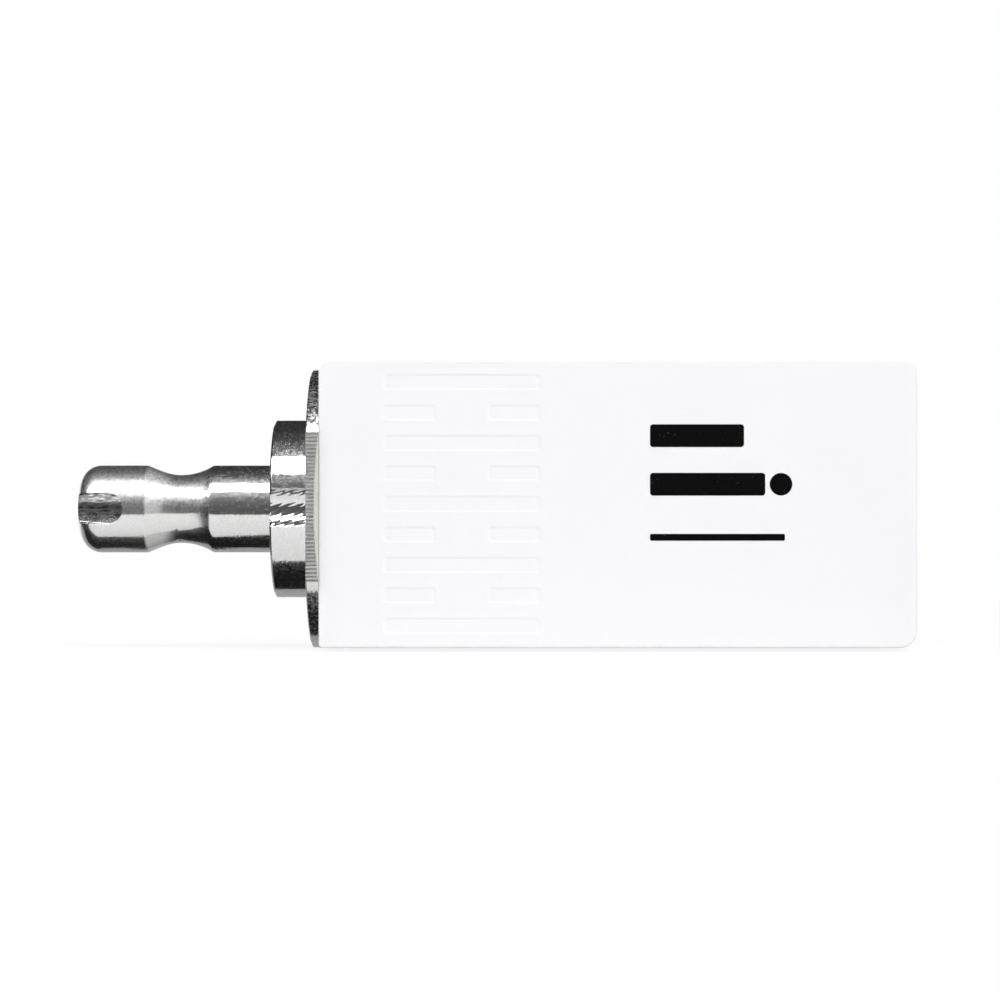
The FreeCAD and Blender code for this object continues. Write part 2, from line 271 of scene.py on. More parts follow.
strip("soft box glare", [(46, GLARE), (69, GLARE)], ((-0.7, 0.0), (0.7, 0.0)))
front_fade = ((-CARD_LENGTH, 0.0), (0.25, 0.0), (0.33, 0.35), (0.42, 0.7), (CARD_LENGTH, 0.7))
front_greys = [(-16, 0.08), (0, 0.1), (13, 0.11), (21, 0.125), (29, 0.15), (37, 0.19), (46, 0.24)]
strip("front card", front_greys, front_fade)
back_fade = ((-CARD_LENGTH, 0.0), (0.0, 0.0), (0.12, 0.28), (0.3, 0.62), (CARD_LENGTH, 1.0))
back_greys = [(69, 0.2), (79, 0.14), (87, 0.1), (96, 0.065), (106, 0.042), (118, 0.027), (163, 0.02)]
strip("back card", back_greys, back_fade)
low_fade = ((-CARD_LENGTH, 0.0), (-0.02, 0.0), (0.145, 0.5), (0.4, 0.75), (CARD_LENGTH, 1.0))


def fade_at(x):
    """The share of the low fade at a place between its columns."""
    for (left, low), (right, high) in zip(low_fade, low_fade[1:]):
        if x <= right:
            return low + (high - low) * (x - left) / (right - left)


# The painted shadow under the object, as the metal sees it: place along the axis, angle of its near
# edge, angle of its far edge. For the camera, the collar mirrors the cards at -37 mm, the shank at
# -50, the neck's waist at -65 and the head at -80, because the camera looks at all of them from the
# right.
PAINTED_SHADOW_FOOT = [
    (-CARD_LENGTH, -70, -124),
    (-0.4, -70, -136),
    (-0.1, -79, -136),
    (-0.088, -79, -126),
    (-0.073, -79, -126),
    (-0.07, -80, -138),
    (-0.06, -80, -138),
    (-0.057, -75, -124),
    (-0.046, -75, -124),
    (-0.0425, -71, -128),
    (-0.028, -71, -128),
    (-0.02, -74, -139),
    (0.06, -80, -139),
    (0.145, -82, -139),
    (CARD_LENGTH, -82, -139),
]
near_edge = [near for _, near, _ in PAINTED_SHADOW_FOOT]
far_edge = [far for _, _, far in PAINTED_SHADOW_FOOT]
foot_fade = [(x, fade_at(x)) for x, _, _ in PAINTED_SHADOW_FOOT]
strip("low grey card", [(-164, 0.41), (-145, 0.41), (far_edge, 0.38)], foot_fade)
# The low black card is painted shadow: the object's shadow on the table, as the metal sees it.
strip("low black card of painted shadow", [(far_edge, 0.012), (-100, 0.01), (near_edge, 0.012)], foot_fade)
end_fade = ((-CARD_LENGTH, 0.0), (-0.62, 0.0), (-0.4, 1.0))
strip("low end card", [(-70, 0.14), (-16, 0.14)], end_fade, goal=0.95)
table_columns = [(x, 0.0) for x, _, _ in PAINTED_SHADOW_FOOT[1:]]
strip("table card", [(near_edge[1:], 0.86), (-45, 0.94), (-16, 1.04)], table_columns)

END_SIDES = 32
end_corners = []
for side in range(END_SIDES):
    turn = side * math.tau / END_SIDES
    end_corners.append((-CARD_LENGTH, CARD_RADIUS * math.cos(turn), CARD_RADIUS * math.sin(turn)))
card("end card", end_corners, [tuple(range(END_SIDES))], [0.03] * END_SIDES)

# %% [markdown]
# ## The floor
#
# The floor is pale and matt. Where the camera sees it, part of it is plain white, and the rest
# takes the object's soft shadow. That rest fades out over a hand's width, so far off the floor runs
# into the white wall without a line. The metal looks past the floor to the cards, because anything
# that lies a few millimetres under a turned part shows in every curve.

# %% Floor
SHADOW_SHARE = 0.2  # how much of the floor near the object takes a shadow
OPEN_FLOOR = 0.68  # brightness of the open floor where nothing is added to it
SHADOW_NEAR, SHADOW_FAR = 0.06, 0.25  # from the origin: up to here in full, and from here on none
FLOOR_GREY = "#E6E6E6"
FLOOR_REACH = 2.5

floor_paper, tree, output = new_material("pale floor paper")
seen = looked_at(tree)
paper = add(tree, "ShaderNodeBsdfDiffuse", {"Color": linear(FLOOR_GREY)})
place = add(tree, "ShaderNodeTexCoord").outputs["Object"]
away = add(tree, "ShaderNodeVectorMath", {0: place}, operation="LENGTH").outputs["Value"]
share = {0: away, 1: SHADOW_NEAR, 2: SHADOW_FAR, 3: SHADOW_SHARE, 4: 0.0}
share = add(tree, "ShaderNodeMapRange", share, interpolation_type="SMOOTHSTEP").outputs[0]
grey = {"Factor": share, COLOUR_A: linear("#000000"), COLOUR_B: linear(FLOOR_GREY)}
grey = add(tree, "ShaderNodeMix", grey, data_type="RGBA").outputs[COLOUR_OUT]
shaded = add(tree, "ShaderNodeBsdfDiffuse", {"Color": grey})
rest = add(tree, "ShaderNodeMath", {0: share, 1: -OPEN_FLOOR, 2: 1.0}, operation="MULTIPLY_ADD")
white = add(tree, "ShaderNodeEmission", {"Color": linear(WHITE), "Strength": rest.outputs[0]})
lit = add(tree, "ShaderNodeAddShader", {0: shaded.outputs[0], 1: white.outputs[0]})
ground = add(tree, "ShaderNodeMixShader", {0: seen, 1: paper.outputs[0], 2: lit.outputs[0]})
tree.links.new(ground.outputs[0], output.inputs["Surface"])

level = cad_lowest.z
plane = bpy.data.meshes.new("floor")
floor_signs = ((-1, -1), (1, -1), (1, 1), (-1, 1))
floor_corners = [(x * FLOOR_REACH, y * FLOOR_REACH, level) for x, y in floor_signs]
plane.from_pydata(floor_corners, [], [(0, 1, 2, 3)])
plane.materials.append(floor_paper)
floor = bpy.data.objects.new("floor", plane)
floor.visible_glossy = False
scene.collection.objects.link(floor)
print("floor at", round(level / MM, 2), "mm")

# %% [markdown]
# ## Turned and milled steel
#
# The holder is stainless steel, turned and then tumbled: bright, with countless pits far too small
# to see. The skin between the pits mirrors sharply; the pits scatter, and what they show best is
# the glare of the soft box, spread thinly over the dark bands. So it is two skins, mixed. Where the
# pits crowd together they make specks of nearly two tenths of a millimetre, which pepper the dark
# bands but hardly the bright ones. The head and the neck have more pits than the shank, which is
# ground to size, and the thin plate's rim, which stands out furthest, has most. The mill cuts after
# the tumbling: the notch is crisp, the flats are dull, and the keyway is streaked. The keyway's dark
# grey tint is painted shade of the recess, drawn out in the streaks.

# %% Steel
STEEL = ("#E6E6E7", "#E2E1DF")
THIN, THICK = 3.5, 5.5  # mm from the axis: the shank is under the first, the collar over the second
PLATE_IN, PLATE_OUT = 7.0, 9.0  # mm from the axis, across the plate's rim
NECK_END, SHANK_START = -4.8, -4.2  # mm along the axis
LEAST, MOST = 0.3, 0.7  # nearly all of a noise texture lies between these
SPECK = 0.2  # size of a speck in mm
RING = 0.11  # spacing of the turning rings in mm
BAND = 0.314  # spacing of a Wave node's bands at scale 1
STREAK = 5.0  # how many times narrower a streak is than it is long
PIT_ROUGHNESS = 0.38
EDGE = 0.05  # radius in mm to which the edges are broken


def steel(
    name, haze, pits, specks=0.12, head=0.0, rim=0.0, relief=0.003, rings=0.0, hollow=0.0, colours=STEEL
):
    """Bare steel. Haze is the roughness between the pits, pits the share they take up and specks how
    far it varies; head and rim are the pits that the head and the plate's rim have in addition. Relief
    is the height of the bump in mm. A hollow, in mm, is the radius of a streaked floor along X."""
    material, tree, output = new_material(name)
    place = place_in_mm(tree)
    parts = add(tree, "ShaderNodeSeparateXYZ", {0: place}).outputs
    across = {0: place, 1: (0.0, 1.0, 1.0)}
    across = add(tree, "ShaderNodeVectorMath", across, operation="MULTIPLY").outputs[0]
    radius = add(tree, "ShaderNodeVectorMath", {0: across}, operation="LENGTH").outputs["Value"]

    # Specks, and a trace of the rings that turning leaves.
    grain = {"Vector": place, "Scale": 1 / SPECK, "Detail": 2.0, "Roughness": 0.5}
    grain = add(tree, "ShaderNodeTexNoise", grain).outputs["Fac"]
    wave = {"Vector": place, "Scale": BAND / RING, "Distortion": 1.5}
    wave |= {"Detail": 2.0, "Detail Scale": 0.6}
    wave = add(tree, "ShaderNodeTexWave", wave, bands_direction="X").outputs["Fac"]
    grain = add(tree, "ShaderNodeMix", {"Factor": rings, "A": grain, "B": wave}).outputs[0]

    # The share of pits: fewer on the collar, more on the plate's rim and on the head and neck.
    inner = {0: radius, 1: THIN, 2: THICK, 3: pits, 4: 0.6 * pits}
    inner = add(tree, "ShaderNodeMapRange", inner).outputs[0]
    outer = {0: radius, 1: PLATE_IN, 2: PLATE_OUT, 3: 0.0, 4: 1.0}
    outer = add(tree, "ShaderNodeMapRange", outer).outputs[0]
    front = {0: parts["X"], 1: NECK_END, 2: SHANK_START, 3: head, 4: 0.0}
    front = add(tree, "ShaderNodeMapRange", front).outputs[0]
    share = {0: outer, 1: rim, 2: inner}
    share = add(tree, "ShaderNodeMath", share, operation="MULTIPLY_ADD").outputs[0]
    share = add(tree, "ShaderNodeMath", {0: share, 1: front}, operation="ADD").outputs[0]

    # How unevenly they crowd: a little more on the collar, most on the plate's rim.
    crowd = {0: radius, 1: THIN, 2: THICK, 3: 1.0, 4: 1.17}
    crowd = add(tree, "ShaderNodeMapRange", crowd).outputs[0]
    crowd = {0: outer, 1: 1.8, 2: crowd}
    crowd = add(tree, "ShaderNodeMath", crowd, operation="MULTIPLY_ADD").outputs[0]
    uneven = {0: grain, 1: LEAST, 2: MOST, 3: -specks, 4: specks}
    uneven = add(tree, "ShaderNodeMapRange", uneven).outputs[0]
    share = {0: crowd, 1: uneven, 2: share}
    share = add(tree, "ShaderNodeMath", share, operation="MULTIPLY_ADD", use_clamp=True).outputs[0]

    # Patches of tint, drawn out into streaks on a hollow floor. In the keyway the dark end of the tint is
    # painted shade.
    stretch = {0: place, 1: (1.0, STREAK, STREAK) if hollow else (1.0, 1.0, 1.0)}
    stretch = add(tree, "ShaderNodeVectorMath", stretch, operation="MULTIPLY").outputs[0]
    patches = {"Vector": stretch, "Scale": 1.6, "Detail": 3.0}
    patches = add(tree, "ShaderNodeTexNoise", patches).outputs["Fac"]
    tone = add(tree, "ShaderNodeMapRange", {0: patches, 1: 0.35, 2: 0.65, 3: 0.0, 4: 1.0}).outputs[0]
    tint = {"Factor": tone, COLOUR_A: linear(colours[0]), COLOUR_B: linear(colours[1])}
    tint = add(tree, "ShaderNodeMix", tint, data_type="RGBA").outputs[COLOUR_OUT]
    pale = {"Factor": 0.8, COLOUR_A: tint, COLOUR_B: linear(WHITE)}
    pale = add(tree, "ShaderNodeMix", pale, data_type="RGBA").outputs[COLOUR_OUT]

    height = {0: patches if hollow else grain, 1: relief}
    height = add(tree, "ShaderNodeMath", height, operation="MULTIPLY").outputs[0]
    if hollow:
        square = add(tree, "ShaderNodeMath", {0: parts["Z"], 1: 2.0}, operation="POWER").outputs[0]
        height = {0: square, 1: 0.5 / hollow, 2: height}
        height = add(tree, "ShaderNodeMath", height, operation="MULTIPLY_ADD").outputs[0]
    edge = add(tree, "ShaderNodeBevel", {"Radius": EDGE * MM}, samples=6).outputs[0]
    bump = {"Strength": 1.0, "Distance": MM, "Height": height, "Normal": edge}
    bump = add(tree, "ShaderNodeBump", bump).outputs[0]

    skins = []
    for colour, rough in ((tint, haze), (pale, PIT_ROUGHNESS)):
        skin = {"Base Color": colour, "Metallic": 1.0, "Roughness": rough, "Normal": bump}
        skins.append(add(tree, "ShaderNodeBsdfPrincipled", skin).outputs[0])
    mixed = add(tree, "ShaderNodeMixShader", {0: share, 1: skins[0], 2: skins[1]})
    tree.links.new(mixed.outputs[0], output.inputs["Surface"])
    return material


turned_steel = steel("turned steel", haze=0.08, pits=0.12, head=0.22, rim=0.1, rings=0.03)
notch_steel = steel("milled steel in the notch", haze=0.09, pits=0.0, relief=0.004)
# The keyway's dark grey tint is painted shade of the recess, drawn out in streaks along X.
slot_steel_with_painted_shade = steel(
    "milled steel in the keyway, with painted shade",
    haze=0.14,
    pits=0.1,
    specks=0.08,
    hollow=3.0,
    colours=("#404040", "#E8E8E8"),
)
flat_steel = steel("fly-cut steel on the flats", haze=0.31, pits=0.0, specks=0.0, relief=0.012)
print("steel:", [material.name for material in (turned_steel, notch_steel, slot_steel_with_painted_shade, flat_steel)])

# %% [markdown]
# ## Chalk, glue and ink
#
# The block is zirconia powder, pressed and only half fired, so it feels like chalk. Light sinks in
# a little and comes back soft and white, with no gloss. The powder leaves a grain of about a
# twentieth of a millimetre. It is drawn three times as coarse here, because a picture of the whole
# object couldn't show it otherwise.
#
# The glue is a cured, slightly waxy resin, warm grey. The marks are printed ink: black, a bit less
# matt than the ceramic, and thin enough to let the grain through in tiny pinholes. Soot black ink
# on chalk swallows nearly all light, also what would glint off a smooth film, so its IOR is far
# below the 1.5 of a resin.

# %% Ceramic, glue and ink


def powdery(name, pattern, colours, tint_range, roughness, depth, ior):
    """A matt material. The pattern's noise gives its tint, its roughness and its relief. The tint
    changes within the tint range of the noise, and the depth of the relief is in mm."""
    material, tree, output = new_material(name)
    pattern = add(tree, "ShaderNodeTexNoise", {"Vector": place_in_mm(tree)} | pattern).outputs["Fac"]
    tone = {0: pattern, 1: tint_range[0], 2: tint_range[1], 3: 0.0, 4: 1.0}
    tone = add(tree, "ShaderNodeMapRange", tone).outputs[0]
    tint = {"Factor": tone, COLOUR_A: linear(colours[0]), COLOUR_B: linear(colours[1])}
    tint = add(tree, "ShaderNodeMix", tint, data_type="RGBA").outputs[COLOUR_OUT]
    bump = add(tree, "ShaderNodeBump", {"Strength": 1.0, "Distance": depth * MM, "Height": pattern})
    dull = {0: pattern, 1: LEAST, 2: MOST, 3: roughness[0], 4: roughness[1]}
    dull = add(tree, "ShaderNodeMapRange", dull).outputs[0]
    skin = {"Base Color": tint, "Roughness": dull, "IOR": ior, "Normal": bump.outputs[0]}
    skin = add(tree, "ShaderNodeBsdfPrincipled", skin)
    tree.links.new(skin.outputs[0], output.inputs["Surface"])
    print(name, "has", len(tree.nodes), "nodes")
    return material


GRAIN = 0.15  # size of a grain in mm, as drawn
PLAIN_IOR, SOOT_IOR = 1.5, 1.12
powder = {"Scale": 1 / GRAIN, "Detail": 3.0, "Roughness": 0.7}
waxy = {"Scale": 2.2, "Detail": 3.0, "Roughness": 0.5}
ceramic = powdery(
    "pressed zirconia",
    pattern=powder,
    colours=("#F8F8FA", "#FAFAFC"),
    tint_range=(LEAST, MOST),
    roughness=(0.82, 0.95),
    depth=0.004,
    ior=PLAIN_IOR,
)
glue = powdery(
    "cured adhesive",
    pattern=waxy,
    colours=("#D8D8D2", "#CFCFC9"),
    tint_range=(LEAST, MOST),
    roughness=(0.42, 0.48),
    depth=0.01,
    ior=PLAIN_IOR,
)
ink = powdery(
    "printed black ink",
    pattern=powder,
    colours=("#060606", "#8A8A8C"),
    tint_range=(0.68, 0.8),
    roughness=(0.58, 0.62),
    depth=0.003,
    ior=SOOT_IOR,
)

# %% [markdown]
# ## A lathe made of nodes
#
# A turned part is one rule: an outline, swept once round an axis. Blender has a Spin tool and a
# Screw modifier for that, and Geometry Nodes can state the rule itself. The tree below lays out a
# flat grid with one row for each point of the outline and one column for each step of the turn,
# then moves every point of the grid to its place. The same tree turns the holder, the glue in its
# dish and a round cutter. A cutter that chatters on its way leaves slanted scallops with sharp
# ridges between them, so the tree can shrink the outline in that pattern.

# %% Helpers for geometry trees
DOUBLED = 1e-4 * MM  # points nearer than this are one point
EMPTY = 1e-5 * MM  # edges shorter than this are none


def geometry_tree(name, sizes):
    """A tree that takes a shape and named sizes. Returns the tree and its inputs."""
    tree = bpy.data.node_groups.new(name, "GeometryNodeTree")
    tree.interface.new_socket("Shape", in_out="INPUT", socket_type="NodeSocketGeometry")
    for size, kind in sizes.items():
        tree.interface.new_socket(size, in_out="INPUT", socket_type=kind)
    tree.interface.new_socket("Result", in_out="OUTPUT", socket_type="NodeSocketGeometry")
    return tree, add(tree, "NodeGroupInput").outputs


def end_tree(tree, shape, material):
    """Every tree ends alike: instances made real, the material set."""
    real = add(tree, "GeometryNodeRealizeInstances", {"Geometry": shape})
    painted = add(tree, "GeometryNodeSetMaterial", {"Geometry": real.outputs[0], "Material": material})
    add(tree, "NodeGroupOutput", {"Result": painted.outputs[0]})


def grow(tree, name, values, points=()):
    """Runs a tree on a few points, given in mm, and returns an object with the mesh that it made."""
    mesh = bpy.data.meshes.new(name)
    mesh.from_pydata([[value * MM for value in point] for point in points], [], [])
    piece = bpy.data.objects.new(name, mesh)
    scene.collection.objects.link(piece)
    modifier = piece.modifiers.new(tree.name, "NODES")
    modifier.node_group = tree
    for item in tree.interface.items_tree:
        if item.in_out == "INPUT" and item.name in values:
            modifier[item.identifier] = values[item.name]
    depsgraph = bpy.context.evaluated_depsgraph_get()
    made = bpy.data.meshes.new_from_object(piece.evaluated_get(depsgraph))
    piece.modifiers.remove(modifier)
    piece.data = made
    made.materials.clear()
    made.materials.append(values["Material"])
    made.polygons.foreach_set("material_index", [0] * len(made.polygons))
    close_up(piece)
    return piece


def close_up(piece):
    """Merges doubled points, drops empty faces and turns every face outwards."""
    form = bmesh.new()
    form.from_mesh(piece.data)
    bmesh.ops.remove_doubles(form, verts=form.verts, dist=DOUBLED)
    bmesh.ops.dissolve_degenerate(form, edges=form.edges, dist=EMPTY)
    bmesh.ops.recalc_face_normals(form, faces=form.faces)
    if form.calc_volume(signed=True) < 0:
        bmesh.ops.reverse_faces(form, faces=form.faces)
    open_edges = sum(1 for edge in form.edges if not edge.is_manifold)
    form.to_mesh(piece.data)
    form.free()
    print(f"{piece.name}: {len(piece.data.polygons)} faces, {open_edges} open edges")


# %% The lathe
SLANT = 1.96  # how far a scallop leans along the axis for each mm up
WANDER = 1.2  # how far scallops stray from even places, in scallops
SHALLOW = 0.1  # a scallop takes no more than this share of the radius

lathe, size = geometry_tree(
    "lathe",
    {
        "Steps": "NodeSocketInt",
        "Axis Y": "NodeSocketFloat",
        "Scallops": "NodeSocketFloat",
        "Spacing": "NodeSocketFloat",
        "Material": "NodeSocketMaterial",
    },
)
rows = add(lathe, "GeometryNodeAttributeDomainSize", {"Geometry": size["Shape"]}, component="MESH")
columns = add(lathe, "ShaderNodeMath", {0: size["Steps"], 1: 1.0}, operation="ADD")
grid = {"Vertices X": rows.outputs["Point Count"], "Vertices Y": columns.outputs[0]}
grid = add(lathe, "GeometryNodeMeshGrid", grid)
index = add(lathe, "GeometryNodeInputIndex")
share = add(lathe, "ShaderNodeMath", {0: index.outputs[0], 1: columns.outputs[0]}, operation="DIVIDE")
row = add(lathe, "ShaderNodeMath", {0: share.outputs[0]}, operation="FLOOR")
column = add(lathe, "ShaderNodeMath", {0: index.outputs[0], 1: columns.outputs[0]}, operation="MODULO")
turn = add(lathe, "ShaderNodeMath", {0: column.outputs[0], 1: size["Steps"]}, operation="DIVIDE")
turn = add(lathe, "ShaderNodeMath", {0: turn.outputs[0], 1: math.tau}, operation="MULTIPLY")
spot = add(lathe, "GeometryNodeInputPosition")
point = {"Geometry": size["Shape"], "Value": spot.outputs[0], "Index": row.outputs[0]}
point = add(lathe, "GeometryNodeSampleIndex", point, data_type="FLOAT_VECTOR")
point = add(lathe, "ShaderNodeSeparateXYZ", {0: point.outputs[0]}).outputs
across = add(lathe, "ShaderNodeMath", {0: turn.outputs[0]}, operation="COSINE")
up = add(lathe, "ShaderNodeMath", {0: turn.outputs[0]}, operation="SINE")
level = add(lathe, "ShaderNodeMath", {0: point["Y"], 1: up.outputs[0]}, operation="MULTIPLY")

# Scallops: ridges that cross the outline aslant and take a little of the radius between them.
slant = {0: level.outputs[0], 1: -SLANT, 2: point["X"]}
slant = add(lathe, "ShaderNodeMath", slant, operation="MULTIPLY_ADD")
phase = add(lathe, "ShaderNodeMath", {0: slant.outputs[0], 1: size["Spacing"]}, operation="DIVIDE")
spread = add(lathe, "ShaderNodeCombineXYZ", {"X": point["X"], "Y": level.outputs[0]})
spread = add(lathe, "ShaderNodeVectorMath", {0: spread.outputs[0], "Scale": 1 / MM}, operation="SCALE")
wander = add(lathe, "ShaderNodeTexNoise", {"Vector": spread.outputs[0], "Scale": 1.4, "Detail": 2.0})
phase = {0: wander.outputs["Fac"], 1: WANDER, 2: phase.outputs[0]}
phase = add(lathe, "ShaderNodeMath", phase, operation="MULTIPLY_ADD")
ridge = add(lathe, "ShaderNodeMath", {0: phase.outputs[0], 1: math.pi}, operation="MULTIPLY")
ridge = add(lathe, "ShaderNodeMath", {0: ridge.outputs[0]}, operation="SINE")
ridge = add(lathe, "ShaderNodeMath", {0: ridge.outputs[0]}, operation="ABSOLUTE")
ridge = add(lathe, "ShaderNodeMath", {0: 1.0, 1: ridge.outputs[0]}, operation="SUBTRACT")
ridge = add(lathe, "ShaderNodeMath", {0: ridge.outputs[0], 1: size["Scallops"]}, operation="MULTIPLY")
limit = add(lathe, "ShaderNodeMath", {0: point["Y"], 1: SHALLOW}, operation="MULTIPLY")
ridge = add(lathe, "ShaderNodeMath", {0: ridge.outputs[0], 1: limit.outputs[0]}, operation="MINIMUM")
radius = add(lathe, "ShaderNodeMath", {0: point["Y"], 1: ridge.outputs[0]}, operation="SUBTRACT")

# The place of each point round the axis.
back = add(lathe, "ShaderNodeMath", {0: radius.outputs[0], 1: across.outputs[0]}, operation="MULTIPLY")
back = add(lathe, "ShaderNodeMath", {0: size["Axis Y"], 1: back.outputs[0]}, operation="SUBTRACT")
up = add(lathe, "ShaderNodeMath", {0: radius.outputs[0], 1: up.outputs[0]}, operation="MULTIPLY")
place = add(lathe, "ShaderNodeCombineXYZ", {"X": point["X"], "Y": back.outputs[0], "Z": up.outputs[0]})
bent = {"Geometry": grid.outputs["Mesh"], "Position": place.outputs[0]}
bent = add(lathe, "GeometryNodeSetPosition", bent)
end_tree(lathe, bent.outputs[0], size["Material"])
print("lathe inputs:", [item.name for item in lathe.interface.items_tree if item.in_out == "INPUT"])

# %% [markdown]
# ## The holder's outline
#
# A turner's drawing gives stations along the axis and radii, and so does this list, in millimetres:
# a rounded nose, the head, a waisted neck for the clamp, the shank, the collar that stops against
# the clamp, and the thin plate with a shallow dish for the glue. Corners that the real part has
# rounded get an arc of short steps.

# %% Outline points


def arc(centre, radius, first, last, steps):
    """Points on an arc, both ends included. Angles are in degrees."""
    turns = [math.radians(first + (last - first) * step / steps) for step in range(steps + 1)]
    x, y = centre
    return [(x + radius * math.cos(turn), y + radius * math.sin(turn)) for turn in turns]


def rounded(before, corner, after, radius, steps):
    """The points that replace a corner of the outline by an arc."""
    here = complex(*corner)
    one = (complex(*before) - here) / abs(complex(*before) - here)
    two = (complex(*after) - here) / abs(complex(*after) - here)
    half = math.acos((one * two.conjugate()).real) / 2
    middle = here + (one + two) / abs(one + two) * radius / math.sin(half)
    start = here + one * radius / math.tan(half) - middle
    end = here + two * radius / math.tan(half) - middle
    sweep = math.atan2((end / start).imag, (end / start).real)
    turns = [sweep * step / steps for step in range(steps + 1)]
    spots = [middle + start * complex(math.cos(turn), math.sin(turn)) for turn in turns]
    return [(spot.real, spot.imag) for spot in spots]


SHANK = 3.0
HEAD_START = -11.944  # where the nose's round ends
NOSE_BULGE, NOSE_ROUND = 24.05, 1.45
WAIST = (-6.518, 2.34)
FRONT_HOLLOW, BACK_HOLLOW = 3.2, 4.05
RIM_ROUND = 0.6
COLLAR = 6.1
PLATE_FRONT, PLATE_BACK, PLATE = 2.56, 3.4, 9.55
DISH_FLOOR, DISH, DISH_RIM = 3.12, 8.2, 9.5

head_rim, shank_rim = (-8.774, SHANK), (-4.28, SHANK)
front_join, back_join = (-7.717, 2.573), (-4.555, 2.848)
nose = arc((10.606, 0), NOSE_BULGE, 180, 176.305, 4)
nose += arc((HEAD_START, 1.55), NOSE_ROUND, 180, 90, 24)[1:]
neck = rounded((HEAD_START, SHANK), head_rim, front_join, RIM_ROUND, 6)
neck += [(-8.2, 2.75)]
neck += arc((WAIST[0], WAIST[1] + FRONT_HOLLOW), FRONT_HOLLOW, 248, 270, 10)
neck += arc((WAIST[0], WAIST[1] + BACK_HOLLOW), BACK_HOLLOW, 270, 299, 14)[1:]
neck += rounded(back_join, shank_rim, (0, SHANK), RIM_ROUND, 7)
collar = [(0, SHANK), (0, 5.98), (0.12, COLLAR), (PLATE_FRONT, COLLAR)]
plate = [(PLATE_FRONT, 9.47), (2.64, PLATE), (PLATE_BACK, PLATE), (PLATE_BACK, DISH_RIM)]
dish = [(DISH_FLOOR, DISH), (DISH_FLOOR, 0)]
outline = nose + neck + collar + plate + dish
print(len(outline), "outline points, from", round(outline[0][0], 3), "to", outline[-3][0], "mm")

# %% Turn the holder and the glue
TURN_STEPS = 320
turn_sizes = {"Steps": TURN_STEPS, "Axis Y": 0.0}
holder_points = [(x, radius, 0) for x, radius in outline]
holder = grow(lathe, "turned_holder", turn_sizes | {"Material": turned_steel}, holder_points)
glue_points = [(DISH_FLOOR, 0, 0), (DISH_FLOOR, DISH, 0), (PLATE_BACK, DISH_RIM, 0), (PLATE_BACK, 0, 0)]
bond = grow(lathe, "glue_in_dish", turn_sizes | {"Material": glue}, glue_points)

# %% [markdown]
# ## Cutters
#
# The holder leaves the lathe and goes to a mill. A small end mill cuts the keyway in the nose,
# another tool the notch in the collar, and a fly cutter takes two flats off the plate. Each cut is
# made here as on the machine: a solid with the tool's path as its shape is taken away. The marks
# that a tool leaves are on the cutter, so the cut gets them: slanted chatter in the notch, and a
# fine ladder of feed lines on the flats.

# %% Keyway and notch cutters
KEYWAY = 1.05  # half its width
KEYWAY_END = -11.234  # the middle of its round end
KEYWAY_FLOOR, KEYWAY_FOOT = 1.9, 0.35  # the floor's distance from the axis, and the round at its foot
OPEN_END, OPEN_SIDE = -15.2, 3.9  # the cutter reaches past the nose and the head
path = [(OPEN_END, -KEYWAY)] + arc((KEYWAY_END, 0), KEYWAY, -90, 90, 32) + [(OPEN_END, KEYWAY)]
form = bmesh.new()
deep = [form.verts.new((x * MM, -KEYWAY_FLOOR * MM, z * MM)) for x, z in path]
clear = [form.verts.new((x * MM, -OPEN_SIDE * MM, z * MM)) for x, z in path]
form.faces.new(deep)
form.faces.new(clear)
for number in range(len(path)):
    form.faces.new((deep[number - 1], deep[number], clear[number], clear[number - 1]))
foot = [edge for edge in form.edges if all(vert in deep for vert in edge.verts)]
foot = [edge for edge in foot if any(vert.co.x > (OPEN_END + 1) * MM for vert in edge.verts)]
bmesh.ops.bevel(form, geom=foot, offset=KEYWAY_FOOT * MM, segments=6, profile=0.5, affect="EDGES")
keyway_cutter = bpy.data.objects.new("keyway cutter", bpy.data.meshes.new("keyway cutter"))
scene.collection.objects.link(keyway_cutter)
form.to_mesh(keyway_cutter.data)
form.free()
keyway_cutter.data.materials.append(slot_steel_with_painted_shade)
close_up(keyway_cutter)

NOTCH = 1.4635  # the cutter's radius
NOTCH_START, NOTCH_STEP, NOTCH_STEPS = -0.4, 0.05, 59
NOTCH_END = 2.555  # just short of the plate
notch_points = [(NOTCH_START, 0, 0)]
notch_points += [(NOTCH_START + NOTCH_STEP * step, NOTCH, 0) for step in range(NOTCH_STEPS)]
notch_points += [(NOTCH_END, NOTCH, 0), (NOTCH_END, 0, 0)]
notch_sizes = {"Steps": 256, "Axis Y": -6.6635 * MM, "Scallops": 0.016 * MM, "Spacing": 0.73 * MM}
notch_sizes |= {"Material": notch_steel}
notch_cutter = grow(lathe, "notch cutter", notch_sizes, notch_points)

# %% Feed lines on the flats
LINE_STEPS = 6.0  # steps of the grid across each line
SLAB_WIDTH, SLAB_MIDDLE, SLAB_THICKNESS = 1.6 * MM, 3.1 * MM, 2 * MM

